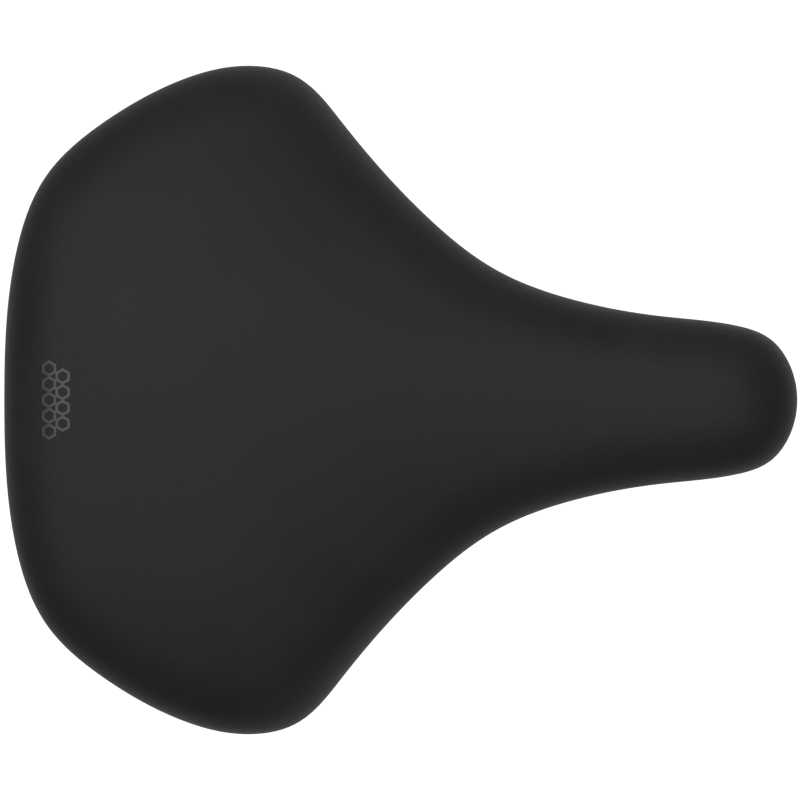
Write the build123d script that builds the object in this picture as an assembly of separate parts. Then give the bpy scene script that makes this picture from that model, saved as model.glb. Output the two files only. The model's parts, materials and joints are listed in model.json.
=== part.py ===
from build123d import *
from math import cos, pi, radians, sin
import os

# Comfort bicycle saddle on two coil springs, with its rail frame and seat post clamp.
# Millimetres. +X points to the nose, +Y to the rider's left, +Z up. The origin lies on the
# seat post's axis, at mid height of the clamp collar's bore.

# ---- driving dimensions ----

# Plan of the cover
LENGTH = 256.0
TAIL_X = -137.0
NOSE_X = TAIL_X + LENGTH
# (distance from the tail, half width), from the tail round the wing to the nose
PLAN = [
    (4, 48.8), (13, 71.8), (32, 90), (57, 103.4), (78, 108), (93, 105), (108, 90.7),
    (136, 59.4), (158, 42.4), (184, 32.4), (212, 27.2), (236, 24.2), (247, 20), (253.3, 12),
]
PLAN_SAMPLES = 32  # points of a parallel outline

# Crowned seat surface
WAIST_TOP = 93.0  # height of the top along the nose
REAR_RISE = 14.5  # how much higher the rear is
RISE_START, RISE_END = 205.0, 45.0  # where the rise begins and ends, from the tail
TAIL_ROLL, TAIL_ROLL_LENGTH = 4.0, 34.0  # the top rolls off towards the tail
NOSE_ROLL, NOSE_ROLL_LENGTH = 7.0, 32.0  # and towards the nose
CROWN_REAR, CROWN_NOSE = 0.0020, 0.0135  # curvature across the seat
CROWN_START, CROWN_END = 60.0, 205.0  # where the crown tightens, from the tail
EDGE_RADIUS = 11.0  # rounding of the seat's top edge

# Layers of the seat
COVER_T = 1.2
LAYER_GAP = 0.1
SHELL_INSET = 7.0  # from the cover's outline to the shell's rim
RIM_T = 3.0
RIM_DEPTH = 14.0
DECK_T = 3.2
DECK_NOSE, DECK_SLOPE, DECK_SWEEP = 60.0, 6.0, 11.0  # height of the shell's deck
HEM_H = 8.0
GEL_X, GEL_Y, GEL_RX, GEL_RY, GEL_T = TAIL_X + 62, 44.0, 36.0, 27.0, 9.0
STAPLES_PER_SIDE = 16
STAPLE_W, STAPLE_WIRE, STAPLE_H, STAPLE_LEG = 9.0, 0.7, 1.2, 3.2

# Ribs, webs and flex slots of the shell
RIB_T, RIB_DEPTH = 2.2, 9.0
LONG_RIB_X, LONG_RIB_Y, LONG_RIB_LENGTH = -22.0, 16.0, 196.0
CROSS_RIBS = [(-118, 60), (-58, 86), (-12, 40), (34, 24)]  # (x, half length)
RIB_TO_RIM = 3.5
GUSSET_ANGLES, GUSSET_LENGTH = (-40, -90, -140), 10.0
FLEX_SLOT_X, FLEX_SLOT_LENGTH, FLEX_SLOT_W = -28.0, 74.0, 15.0
WING_SLOT_X, WING_SLOT_Y, WING_SLOT_TURN = -36.0, 40.0, 52.0
WING_SLOT_LENGTH, WING_SLOT_W = 44.0, 12.0

# Hook under the nose and the clip screwed to it
HOOK_HALF_X, HOOK_HALF_Y, HOOK_H = 14.0, 7.4, 40.0
HOOK_WEB_LENGTH, HOOK_WEB_T, HOOK_WEB_DEPTH, HOOK_WEB_LAP = 40.0, 2.4, 12.0, 4.0
CLIP_DEPTH, CLIP_ROUND = 8.0, 4.0
SCREW_X, SCREW_R, SCREW_LENGTH = 8.8, 1.6, 14.0
SCREW_HEAD_R, SCREW_HEAD_H, SCREW_SINK = 3.0, 2.2, 1.6
CROSS_LENGTH, CROSS_W, CROSS_DEPTH = 3.2, 0.8, 1.0  # recess for the screwdriver

# Rails: one bent wire
RAIL_R = 3.5
RAIL_Y = 22.0
RAIL_Z = 11.5
RAIL_REAR_Y, RAIL_REAR_Z = 22.0, 15.5
RAIL_END_X = -112.0
PIVOT_X, PIVOT_Z = 80.0, 40.0  # the wire's cross bar, on which the nose turns
PIVOT_HALF = 15.0
RUN = 0.1  # radial clearance of the turning and sliding fits

# Springs and the bridge that carries them
SPRING_X, SPRING_Y = TAIL_X + 48, 58.0
SPRING_R, SPRING_WIRE = 20.0, 4.6
SPRING_PITCH = 9.0
BRIDGE_BOTTOM, BRIDGE_T = RAIL_REAR_Z + RAIL_R, 3.0
BRIDGE_TOP = BRIDGE_BOTTOM + BRIDGE_T
BRIDGE_HALF_LENGTH = 16.0  # along X
BRIDGE_SEAT_R, BRIDGE_CORNER = 24.0, 8.0
FLANGE_HALF, FLANGE_H, FLANGE_CORNER = 8.5, 7.0, 4.0  # turned-down edges of the bridge
CUP_R, CUP_FLOOR, CUP_WALL_H, SPIGOT_H = 22.5, 3.0, 2.5, 6.0
SPRING_BOTTOM, SPRING_TOP = BRIDGE_TOP + CUP_FLOOR, 66.6
SEAT_SPIGOT_R = 14.4  # fits inside the coil
SEAT_WALL_R = 20.7  # fits round the coil
TOWER_R, TOWER_BOTTOM, TOWER_ROOF = 23.0, 60.8, 66.8
GUIDE_R = 3.0  # M6 guide bolt
GUIDE_GAP = 0.3
GUIDE_SLOT_W, GUIDE_SLOT_L = 8.0, 11.0
GUIDE_FLATS, GUIDE_HEAD_H, GUIDE_NUT_H, GUIDE_NUT_SINK = 10.0, 4.0, 5.0, 0.6

# Straps round the rails, riveted to the bridge
RIVET_X, RIVET_Y, RIVET_R = 5.0, 9.3, 2.5
RIVET_HEAD_R, RIVET_HEAD_H = 3.6, 1.6
STRAP_LENGTH, STRAP_T, STRAP_EAR = 20.0, 2.0, 13.0

# Post clamp
POST_R = 11.0
COLLAR_WALL, COLLAR_H = 3.6, 30.0
CLAMP_X = -22.0  # the clamp bolt, behind the post
HUB_R, HUB_HALF = 14.0, 15.0
PINCH_SLOT = 3.2
BOLT_R = 4.0  # M8
TEETH, TOOTH_H = 24, 1.0
TOOTH_START = BOLT_R + 1.5
TOOTH_GAP = 0.2
CHEEK_R = 18.5
CHEEK_SPLIT = 1.0  # gap between the cheeks at the rail
CHEEK_OUTER = 28.0
CHEEK_BOSS_R, CHEEK_BOSS_H = 10.0, 2.0
DISH_R, DISH_DEPTH = 15.6, 1.3  # ring pressed into the outer cheek's face
DISH_RIBS, DISH_RIB_T = 6, 2.4
WASHER_R, WASHER_T = 8.5, 1.6
NUT_FLATS, NUT_H = 13.0, 6.8
BOLT_STICKS_OUT = 3.0

SIDES = {"left": 1, "right": -1}
THROUGH = 200.0  # longer than anything it cuts


# ---- shape of the seat ----


def smooth(t):
    t = min(1.0, max(0.0, t))
    return t * t * (3 - 2 * t)


def top_height(x, y):
    """Height of the seat's crowned top."""
    s = min(LENGTH, max(0.0, x - TAIL_X))
    rise = smooth((RISE_START - s) / (RISE_START - RISE_END))
    tail = max(0.0, 1 - s / TAIL_ROLL_LENGTH)
    nose = max(0.0, 1 - (LENGTH - s) / NOSE_ROLL_LENGTH)
    tighter = smooth((s - CROWN_START) / (CROWN_END - CROWN_START))
    curvature = CROWN_REAR + (CROWN_NOSE - CROWN_REAR) * tighter
    crown = curvature * y * y / (2 + (curvature * y) ** 2)
    return WAIST_TOP + REAR_RISE * rise - TAIL_ROLL * tail**2 - NOSE_ROLL * nose**2 - crown


def deck_height(x):
    """Height of the top of the shell's deck, which curves only along the saddle."""
    t = (NOSE_X - x) / LENGTH
    return DECK_NOSE + DECK_SLOPE * t + DECK_SWEEP * t * t


def half_plan():
    """The cover's outline on the left side, from the tail to the nose."""
    points = [(TAIL_X, 0)] + [(TAIL_X + s, w) for s, w in PLAN] + [(NOSE_X, 0)]
    return Spline(*points, tangents=[(0, 1), (0, -1)], tangent_scalars=(1, 1))


def plan_point(share, inset):
    """A point of the parallel outline on the left side, and the outward normal there."""
    curve = half_plan()
    tangent = curve.tangent_at(share)
    outward = Vector(-tangent.Y, tangent.X)
    return curve.position_at(share) - outward * inset, outward


def prism(inset):
    """The plan, taken in by inset, as a tall upright block."""
    shares = [i / PLAN_SAMPLES for i in range(1, PLAN_SAMPLES)]
    inner = [plan_point(share, inset)[0] for share in shares]
    points = [Vector(TAIL_X + inset, 0), *inner, Vector(NOSE_X - inset, 0)]
    left = Spline(*points, tangents=[(0, 1), (0, -1)], tangent_scalars=(1, 1))
    outline = make_face([left, left.mirror(Plane.XZ)])
    return extrude(outline, THROUGH)


def below_top(drop, depth=70.0):
    """Everything under the crowned top, lowered by drop."""
    stations = [TAIL_X - 6 + i * (LENGTH + 12) / 24 for i in range(25)]
    rows = [-114 + i * 228 / 18 for i in range(19)]
    grid = [[Vector(x, y, top_height(x, y) - drop) for y in rows] for x in stations]
    return Solid.extrude(Face.make_surface_from_array_of_points(grid, tol=0.05), Vector(0, 0, -depth))


def deck_band(low, high):
    """The space from low to high above the deck's top, across the whole width."""
    stations = [TAIL_X - 10 + i * (LENGTH + 20) / 6 for i in range(7)]
    lower = Spline(*[Vector(x, -120, deck_height(x) + low) for x in stations])
    upper = lower.translate(Vector(0, 0, high - low))
    ends = [Line(lower @ 0, upper @ 0), Line(lower @ 1, upper @ 1)]
    return Solid.extrude(Face(Wire([lower, ends[1], upper, ends[0]])), Vector(0, 240, 0))


def top_edges(solid):
    """The loop where the crowned top meets the side."""
    top = max(solid.faces(), key=lambda face: face.center().Z)
    return top.edges()


def seat_block(inset, drop, low, edge_radius):
    """The seat's outer form, taken in by inset and lowered by drop, from low above the deck."""
    block = prism(inset) & below_top(drop) & deck_band(low, 90)
    return fillet(top_edges(block), edge_radius)


# ---- seat: cover, foam, gel, shell ----


def make_cover():
    lip = -RIM_DEPTH - LAYER_GAP
    outer = seat_block(0, 0, lip - COVER_T, EDGE_RADIUS)
    inner = seat_block(COVER_T, COVER_T, lip, EDGE_RADIUS - COVER_T)
    hem_outer = SHELL_INSET + RIM_T + LAYER_GAP
    mouth = prism(hem_outer + COVER_T) & deck_band(lip - COVER_T - 1, lip + 1)
    hem = (prism(hem_outer) - prism(hem_outer + COVER_T)) & deck_band(lip - COVER_T, lip + HEM_H)
    return outer - inner - mouth + hem


def gel_recess(side, shrink, top_drop):
    """An oval pocket in the top of the foam, under one sit bone."""
    oval = Pos(GEL_X, side * GEL_Y) * Ellipse(GEL_RX - shrink, GEL_RY - shrink)
    top = COVER_T + LAYER_GAP
    pocket = below_top(top + top_drop) - below_top(top + GEL_T - shrink)
    return extrude(oval, THROUGH) & pocket


def make_foam_pad():
    inset = COVER_T + LAYER_GAP
    pad = seat_block(inset, inset, -RIM_DEPTH, EDGE_RADIUS - inset)
    shell_space = prism(SHELL_INSET - LAYER_GAP) & deck_band(-RIM_DEPTH - 5, LAYER_GAP)
    pad -= shell_space
    for side in SIDES.values():
        pad -= gel_recess(side, 0, -1)
    return pad


def make_gel_pad(side):
    return gel_recess(side, LAYER_GAP, 0)


def shell_ribs():
    """Two long ribs and four cross ribs under the deck."""
    ribs = Part()
    for side in SIDES.values():
        ribs += Pos(LONG_RIB_X, side * LONG_RIB_Y) * Box(LONG_RIB_LENGTH, RIB_T, THROUGH)
    for x, half in CROSS_RIBS:
        ribs += Pos(x, 0) * Box(RIB_T, 2 * half, THROUGH)
    space = prism(SHELL_INSET + RIM_T + RIB_TO_RIM) & deck_band(-RIB_DEPTH, -DECK_T / 2)
    return ribs & space


def spring_tower(side):
    """A round boss under the deck, with a ring groove that holds the spring's top."""
    x, y = SPRING_X, side * SPRING_Y
    boss = Pos(x, y, (TOWER_BOTTOM + 90) / 2) * Cylinder(TOWER_R, 90 - TOWER_BOTTOM)
    boss = boss & deck_band(-60, -DECK_T / 2)
    groove_h = TOWER_ROOF - TOWER_BOTTOM
    at = Pos(x, y, TOWER_BOTTOM + groove_h / 2)
    groove = at * (Cylinder(SEAT_WALL_R, groove_h) - Cylinder(SEAT_SPIGOT_R, groove_h))
    return boss - groove


def tower_gussets(side):
    """Webs that brace the tower against the deck, on the sides away from the rim."""
    webs = Part()
    for angle in GUSSET_ANGLES:
        at = Pos(SPRING_X, side * SPRING_Y, TOWER_ROOF) * Rot(0, 0, side * angle)
        webs += at * Pos(TOWER_R + 3, 0) * Box(GUSSET_LENGTH, RIB_T, 20)
    return webs & deck_band(-RIB_DEPTH, -DECK_T / 2)


def nose_hook():
    """A block that hangs from the deck and sits on the wire's cross bar."""
    block = Pos(PIVOT_X, 0, PIVOT_Z + HOOK_H / 2) * Box(2 * HOOK_HALF_X, 2 * HOOK_HALF_Y, HOOK_H)
    block = block & deck_band(-60, -DECK_T / 2)
    web_x = PIVOT_X - HOOK_HALF_X + HOOK_WEB_LAP - HOOK_WEB_LENGTH / 2
    web = Pos(web_x, 0, PIVOT_Z + HOOK_H / 2) * Box(HOOK_WEB_LENGTH, HOOK_WEB_T, HOOK_H)
    return block + (web & deck_band(-HOOK_WEB_DEPTH, -DECK_T / 2))


def pivot_bar(clearance):
    return Pos(PIVOT_X, 0, PIVOT_Z) * Rot(90, 0, 0) * Cylinder(RAIL_R + clearance, THROUGH)


def make_base_shell():
    outer = prism(SHELL_INSET)
    shell = outer & deck_band(-DECK_T, 0)
    shell += (outer - prism(SHELL_INSET + RIM_T)) & deck_band(-RIM_DEPTH, 0)
    shell += shell_ribs()
    # Slots that let the deck flex: one down the middle, one in each wing
    slots = [Pos(FLEX_SLOT_X, 0) * SlotOverall(FLEX_SLOT_LENGTH, FLEX_SLOT_W)]
    for side in SIDES.values():
        at = Pos(WING_SLOT_X, side * WING_SLOT_Y) * Rot(0, 0, -side * WING_SLOT_TURN)
        slots.append(at * SlotOverall(WING_SLOT_LENGTH, WING_SLOT_W))
    for slot in slots:
        shell -= extrude(slot, THROUGH)
    for side in SIDES.values():
        shell += spring_tower(side) + tower_gussets(side)
    shell += nose_hook()
    shell -= pivot_bar(RUN)
    for side in SIDES.values():
        hole = Pos(SPRING_X, side * SPRING_Y) * Cylinder(GUIDE_R + 0.1, THROUGH)
        shell -= hole + guide_nut_form(side, 0.1)
    for x in (-SCREW_X, SCREW_X):
        shell -= Pos(PIVOT_X + x, 0, PIVOT_Z) * Cylinder(SCREW_R, 2 * SCREW_LENGTH)
    return shell


def make_cover_staples():
    """Wire staples through the hem into the shell's rim, spaced round the inside."""
    hem_face = SHELL_INSET + RIM_T + LAYER_GAP + COVER_T
    staples = []
    for i in range(STAPLES_PER_SIDE):
        share = (i + 0.5) / STAPLES_PER_SIDE
        at, outward = plan_point(share, hem_face)
        frame = Plane(
            origin=(at.X, at.Y, deck_height(at.X) - RIM_DEPTH + HEM_H / 2),
            x_dir=outward,
            z_dir=(0, 0, 1),
        )
        crown = Pos(-STAPLE_WIRE / 2, 0, 0) * Box(STAPLE_WIRE, STAPLE_W, STAPLE_H)
        legs = Part()
        for end in (-1, 1):
            leg_y = end * (STAPLE_W - STAPLE_WIRE) / 2
            legs += Pos(STAPLE_LEG / 2, leg_y, 0) * Box(STAPLE_LEG, STAPLE_WIRE, STAPLE_H)
        staple = frame * (crown + legs)
        staples += [staple, staple.mirror(Plane.XZ)]
    return Compound(children=[s.solid() for s in staples])


def make_nose_clip():
    """The cap under the cross bar, held by two screws."""
    clip = Pos(PIVOT_X, 0, PIVOT_Z - CLIP_DEPTH / 2) * Box(2 * HOOK_HALF_X, 2 * HOOK_HALF_Y, CLIP_DEPTH)
    clip = fillet(clip.edges().filter_by(Axis.Y).sort_by(Axis.Z)[:2], CLIP_ROUND)
    clip -= pivot_bar(RUN)
    for x in (-SCREW_X, SCREW_X):
        clip -= Pos(PIVOT_X + x, 0, PIVOT_Z) * Cylinder(SCREW_R, THROUGH)
        clip -= Pos(PIVOT_X + x, 0, PIVOT_Z - CLIP_DEPTH) * Cylinder(SCREW_HEAD_R + 0.1, 2 * SCREW_SINK)
    return clip


def make_nose_clip_screws():
    """Two pan head screws with a cross recess, up through the clip into the hook."""
    screws = []
    bottom = PIVOT_Z - CLIP_DEPTH + SCREW_SINK
    for x in (-SCREW_X, SCREW_X):
        shank = Pos(0, 0, SCREW_LENGTH / 2) * Cylinder(SCREW_R, SCREW_LENGTH)
        head = Pos(0, 0, -SCREW_HEAD_H / 2) * Cylinder(SCREW_HEAD_R, SCREW_HEAD_H)
        head = fillet(head.edges().sort_by(Axis.Z)[:1], 1.0)
        cross = Box(CROSS_LENGTH, CROSS_W, 2 * CROSS_DEPTH) + Box(CROSS_W, CROSS_LENGTH, 2 * CROSS_DEPTH)
        screw = shank + head - Pos(0, 0, -SCREW_HEAD_H) * cross
        screws.append(Pos(PIVOT_X + x, 0, bottom) * screw)
    return Compound(children=[s.solid() for s in screws])


# ---- guide bolts through the springs ----


def hexagon(flats, height):
    return extrude(RegularPolygon(flats / 2, 6, major_radius=False), height)


def chamfered_hexagon(flats, height, both=True):
    """A hexagon with its corners turned off, as on a nut or a bolt's head."""
    corner_r = flats / 2 / cos(pi / 6)
    turned = Pos(0, 0, height / 2) * Cylinder(corner_r, height)
    edges = turned.edges().filter_by(GeomType.CIRCLE).sort_by(Axis.Z)
    turned = chamfer(edges if both else edges[-1:], 0.1 * flats, 0.16 * flats / 2)
    return hexagon(flats, height) & turned


def guide_nut_at(side):
    bottom = deck_height(SPRING_X) - GUIDE_NUT_SINK - GUIDE_NUT_H
    return Pos(SPRING_X, side * SPRING_Y, bottom)


def guide_nut_form(side, gap):
    """The nut's pocket, open through the deck's top."""
    return guide_nut_at(side) * hexagon(GUIDE_FLATS + 2 * gap, 2 * GUIDE_NUT_H)


def make_guide_nut(side):
    nut = chamfered_hexagon(GUIDE_FLATS, GUIDE_NUT_H) - Cylinder(GUIDE_R, 4 * GUIDE_NUT_H)
    return guide_nut_at(side) * nut


def guide_head_top():
    return BRIDGE_BOTTOM - GUIDE_GAP - WASHER_T


def make_guide_bolt(side):
    """M6 hexagon bolt that holds the spring's preload and hangs free of the bridge below."""
    top = deck_height(SPRING_X) - 1.0
    bottom = guide_head_top()
    shank = Pos(0, 0, (top - bottom) / 2) * Cylinder(GUIDE_R, top - bottom)
    shank = chamfer(shank.edges().sort_by(Axis.Z)[-1:], 0.6)
    head = Rot(180, 0, 0) * chamfered_hexagon(GUIDE_FLATS, GUIDE_HEAD_H, both=False)
    return Pos(SPRING_X, side * SPRING_Y, bottom) * (shank + head)


def make_guide_washer(side):
    washer = Cylinder(WASHER_R, WASHER_T) - Cylinder(GUIDE_R, WASHER_T)
    return Pos(SPRING_X, side * SPRING_Y, guide_head_top() + WASHER_T / 2) * washer


# ---- rail frame ----


def make_rail_wire():
    """One wire: two rails, joined at the nose by the cross bar."""
    left = [
        (RAIL_END_X, RAIL_REAR_Y, RAIL_REAR_Z),
        (-74, RAIL_REAR_Y, RAIL_REAR_Z),
        (-58, RAIL_Y, RAIL_Z),
        (20, RAIL_Y, RAIL_Z),
        (PIVOT_X, PIVOT_HALF, PIVOT_Z),
    ]
    right = [(x, -y, z) for x, y, z in reversed(left)]
    bends = [24, 24, 36, 7]
    path = FilletPolyline(*left, *right, radius=bends + bends[::-1])
    start = Plane(origin=left[0], z_dir=(1, 0, 0))
    wire = sweep(start * Circle(RAIL_R), path=path)
    ends = wire.edges().filter_by(GeomType.CIRCLE).sort_by(Axis.X)[:2]
    return chamfer(ends, 0.8)


def guide_slot(side, bottom, height):
    """The bolt's clearance slot: it swings forward as the rear of the seat goes down."""
    at = Pos(SPRING_X + 0.8, side * SPRING_Y, bottom)
    return at * extrude(SlotOverall(GUIDE_SLOT_L, GUIDE_SLOT_W), height)


def rivet_places():
    return [
        (SPRING_X + along, side * (RAIL_REAR_Y + across))
        for side in SIDES.values()
        for across in (-RIVET_Y, RIVET_Y)
        for along in (-RIVET_X, RIVET_X)
    ]


def make_rear_bridge():
    """Pressed steel plate across both rails, with a round seat under each spring."""
    plan = Rectangle(2 * BRIDGE_HALF_LENGTH, 2 * SPRING_Y)
    for side in SIDES.values():
        plan += Pos(0, side * SPRING_Y) * Circle(BRIDGE_SEAT_R)
    plan = Pos(SPRING_X, 0) * plan
    corners = plan.vertices().filter_by(lambda v: abs(v.Y) < SPRING_Y)
    plate = extrude(fillet(corners, BRIDGE_CORNER), BRIDGE_T)
    # Turned-down flanges along the middle of the front and rear edges
    for end in (-1, 1):
        x = SPRING_X + end * (BRIDGE_HALF_LENGTH - BRIDGE_T / 2)
        flange = Box(BRIDGE_T, 2 * FLANGE_HALF, BRIDGE_T + FLANGE_H)
        flange = Pos(x, 0, (BRIDGE_T - FLANGE_H) / 2) * flange
        flange = fillet(flange.edges().filter_by(Axis.X).sort_by(Axis.Z)[:2], FLANGE_CORNER)
        plate += flange
    outer = [e for e in plate.edges().filter_by(Axis.Y) if e.center().Z > BRIDGE_T - 0.1 and abs(e.center().Y) < 1]
    plate = fillet(outer, 2)
    plate = Pos(0, 0, BRIDGE_BOTTOM) * plate
    for side in SIDES.values():
        plate -= guide_slot(side, BRIDGE_BOTTOM - 5, 20)
    for x, y in rivet_places():
        plate -= Pos(x, y, BRIDGE_BOTTOM) * Cylinder(RIVET_R, 20)
    return plate


def make_rail_clip(side):
    """A strap that wraps under the rail and is riveted to the bridge on both sides."""
    section = Circle(RAIL_R + STRAP_T) & Pos(0, -10) * Rectangle(40, 20)
    section += Pos(0, RAIL_R - STRAP_T / 2) * Rectangle(2 * STRAP_EAR, STRAP_T)
    section += Pos(0, RAIL_R / 2) * Rectangle(2 * (RAIL_R + STRAP_T), RAIL_R)
    section -= Circle(RAIL_R)
    section -= Pos(0, RAIL_R / 2 + 0.5) * Rectangle(2 * RAIL_R, RAIL_R + 1)
    corner = (SPRING_X - STRAP_LENGTH / 2, side * RAIL_REAR_Y, RAIL_REAR_Z)
    frame = Plane(origin=corner, x_dir=(0, 1, 0), z_dir=(1, 0, 0))
    strap = extrude(frame * section, STRAP_LENGTH)
    for x, y in rivet_places():
        strap -= Pos(x, y, RAIL_REAR_Z) * Cylinder(RIVET_R, 20)
    return strap


def make_bridge_rivets():
    """Eight round head rivets through the bridge and the straps."""
    low, high = BRIDGE_BOTTOM - STRAP_T, BRIDGE_TOP
    rivets = []
    for x, y in rivet_places():
        shank = Pos(0, 0, (low + high) / 2) * Cylinder(RIVET_R, high - low)
        lower = Pos(0, 0, low) * rivet_head(-1)
        upper = Pos(0, 0, high) * rivet_head(1)
        rivets.append(Pos(x, y) * (shank + lower + upper))
    return Compound(children=[r.solid() for r in rivets])


def rivet_head(up):
    """A domed head: a slice of a ball above (up = 1) or below (up = -1) a face."""
    ball_r = (RIVET_HEAD_R**2 + RIVET_HEAD_H**2) / (2 * RIVET_HEAD_H)
    ball = Pos(0, 0, up * (RIVET_HEAD_H - ball_r)) * Sphere(ball_r)
    slab = Box(3 * RIVET_HEAD_R, 3 * RIVET_HEAD_R, RIVET_HEAD_H)
    return ball & Pos(0, 0, up * RIVET_HEAD_H / 2) * slab


def make_spring_cup(side):
    """Nylon cup on the bridge, which locates the spring's lower end."""
    flange = Pos(0, 0, CUP_FLOOR / 2) * Cylinder(CUP_R, CUP_FLOOR)
    wall = Cylinder(CUP_R, CUP_WALL_H) - Cylinder(SEAT_WALL_R, CUP_WALL_H)
    wall = Pos(0, 0, CUP_FLOOR + CUP_WALL_H / 2) * wall
    spigot = Pos(0, 0, CUP_FLOOR + SPIGOT_H / 2) * Cylinder(SEAT_SPIGOT_R, SPIGOT_H)
    spigot = chamfer(spigot.edges().sort_by(Axis.Z)[-1:], 1.2)
    cup = Pos(SPRING_X, side * SPRING_Y, BRIDGE_TOP) * (flange + wall + spigot)
    return cup - guide_slot(side, BRIDGE_TOP - 5, 30)


def make_spring(side):
    """Compression spring with both ends ground flat."""
    height = SPRING_TOP - SPRING_BOTTOM
    coil_r = SPRING_R - SPRING_WIRE / 2
    path = Helix(SPRING_PITCH, height + SPRING_WIRE, coil_r)
    start = Plane(origin=path @ 0, z_dir=path % 0)
    coil = sweep(start * Circle(SPRING_WIRE / 2), path=path, is_frenet=True)
    ground = Pos(0, 0, (height + SPRING_WIRE) / 2) * Cylinder(SPRING_R + 5, height)
    centre_z = (SPRING_BOTTOM + SPRING_TOP) / 2 - (height + SPRING_WIRE) / 2
    return Pos(SPRING_X, side * SPRING_Y, centre_z) * (coil & ground)


# ---- post clamp ----


def across(y_from, y_to, radius):
    """A round bar along Y on the clamp bolt's axis."""
    length = abs(y_to - y_from)
    return Pos(CLAMP_X, (y_from + y_to) / 2, 0) * Rot(90, 0, 0) * Cylinder(radius, length)


def bolt_hole(clearance):
    return across(-THROUGH / 2, THROUGH / 2, BOLT_R + clearance)


def tooth_grooves(face_y):
    """Radial V grooves cut into a face at face_y, from near the bolt to the hub's edge."""
    length = HUB_R + 1 - TOOTH_START
    groove = Rot(45, 0, 0) * Box(length, TOOTH_H * 1.41, TOOTH_H * 1.41)
    groove = Pos(TOOTH_START + length / 2, 0, 0) * groove
    grooves = Part()
    for i in range(TEETH):
        grooves += Rot(0, i * 360 / TEETH, 0) * groove
    return Pos(CLAMP_X, face_y, 0) * grooves


def make_clamp_collar():
    """Collar on the seat post, with a hub for the clamp bolt and toothed ends."""
    outer = POST_R + COLLAR_WALL
    ring = Cylinder(outer, COLLAR_H)
    ring = fillet(ring.edges().filter_by(GeomType.CIRCLE), 1.2)
    collar = ring + across(-HUB_HALF, HUB_HALF, HUB_R)
    for side in SIDES.values():
        collar -= tooth_grooves(side * HUB_HALF)
    collar -= Cylinder(POST_R, COLLAR_H * 2)
    collar -= bolt_hole(RUN)
    collar -= Pos(CLAMP_X, 0, 0) * Box(2 * abs(CLAMP_X), PINCH_SLOT, THROUGH)
    return collar


def rail_grooves(side):
    """Grooves above and below the bolt: the upper pair grips the rails, the lower is spare."""
    bars = Part()
    for z in (RAIL_Z, -RAIL_Z):
        bars += Pos(CLAMP_X, side * RAIL_Y, z) * Rot(0, 90, 0) * Cylinder(RAIL_R + RUN, THROUGH)
    return bars


def make_inner_cheek(side):
    teeth_tip = HUB_HALF + TOOTH_GAP
    plate = across(side * (teeth_tip + TOOTH_H), side * (RAIL_Y - CHEEK_SPLIT / 2), CHEEK_R)
    plate = fillet(plate.edges().filter_by(GeomType.CIRCLE), 0.8)
    boss = across(side * teeth_tip, side * (teeth_tip + TOOTH_H + 0.5), HUB_R)
    boss -= tooth_grooves(side * teeth_tip)
    return plate + boss - bolt_hole(RUN) - rail_grooves(side)


def make_outer_cheek(side):
    inner = RAIL_Y + CHEEK_SPLIT / 2
    plate = across(side * inner, side * CHEEK_OUTER, CHEEK_R)
    rim = plate.edges().filter_by(GeomType.CIRCLE).sort_by(Axis.Y)
    plate = fillet(rim[-1:] if side > 0 else rim[:1], 2.0)
    boss = across(side * (CHEEK_OUTER - 2), side * (CHEEK_OUTER + CHEEK_BOSS_H), CHEEK_BOSS_R)
    return plate - dish(side) + boss - bolt_hole(RUN) - rail_grooves(side)


def dish(side):
    """The shallow ring in an outer cheek's face, crossed by radial ribs."""
    ring = across(side * (CHEEK_OUTER - DISH_DEPTH), side * (CHEEK_OUTER + 1), DISH_R)
    for i in range(DISH_RIBS):
        turn = Rot(0, (i + 0.5) * 360 / DISH_RIBS, 0)
        rib = turn * Pos(DISH_R / 2, 0, 0) * Box(DISH_R + 2, THROUGH, DISH_RIB_T)
        ring -= Pos(CLAMP_X, 0, 0) * rib
    return ring


def nut_start():
    return CHEEK_OUTER + CHEEK_BOSS_H + WASHER_T


def make_clamp_washer(side):
    low = CHEEK_OUTER + CHEEK_BOSS_H
    washer = across(side * low, side * (low + WASHER_T), WASHER_R)
    return washer - bolt_hole(0)


def make_clamp_nut(side):
    nut = Rot(-90 * side, 0, 0) * chamfered_hexagon(NUT_FLATS, NUT_H)
    return Pos(CLAMP_X, side * nut_start(), 0) * nut - bolt_hole(0)


def make_clamp_bolt():
    """M8 stud with a nut at each end."""
    half = nut_start() + NUT_H + BOLT_STICKS_OUT
    bolt = across(-half, half, BOLT_R)
    return chamfer(bolt.edges().filter_by(GeomType.CIRCLE), 0.9)


# ---- write every piece ----


def write(shape, name):
    export_step(shape, f"parts/{name}.step")


os.makedirs("parts", exist_ok=True)
write(make_cover(), "cover")
write(make_foam_pad(), "foam_pad")
write(make_base_shell(), "base_shell")
write(make_cover_staples(), "cover_staples")
write(make_nose_clip(), "nose_clip")
write(make_nose_clip_screws(), "nose_clip_screws")
write(make_rail_wire(), "rail_wire")
write(make_rear_bridge(), "rear_bridge")
write(make_bridge_rivets(), "bridge_rivets")
write(make_clamp_collar(), "clamp_collar")
write(make_clamp_bolt(), "clamp_bolt")
PAIRED = {
    "gel_pad": make_gel_pad,
    "guide_bolt": make_guide_bolt,
    "guide_nut": make_guide_nut,
    "guide_washer": make_guide_washer,
    "rail_clip": make_rail_clip,
    "spring_cup": make_spring_cup,
    "spring": make_spring,
    "inner_cheek": make_inner_cheek,
    "outer_cheek": make_outer_cheek,
    "clamp_washer": make_clamp_washer,
    "clamp_nut": make_clamp_nut,
}
for piece, make in PAIRED.items():
    for side_name, side_sign in SIDES.items():
        write(make(side_sign), f"{piece}_{side_name}")
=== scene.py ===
import json
import math

import bmesh
import bpy
import numpy as np
from mathutils import Matrix, Vector, noise


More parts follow.
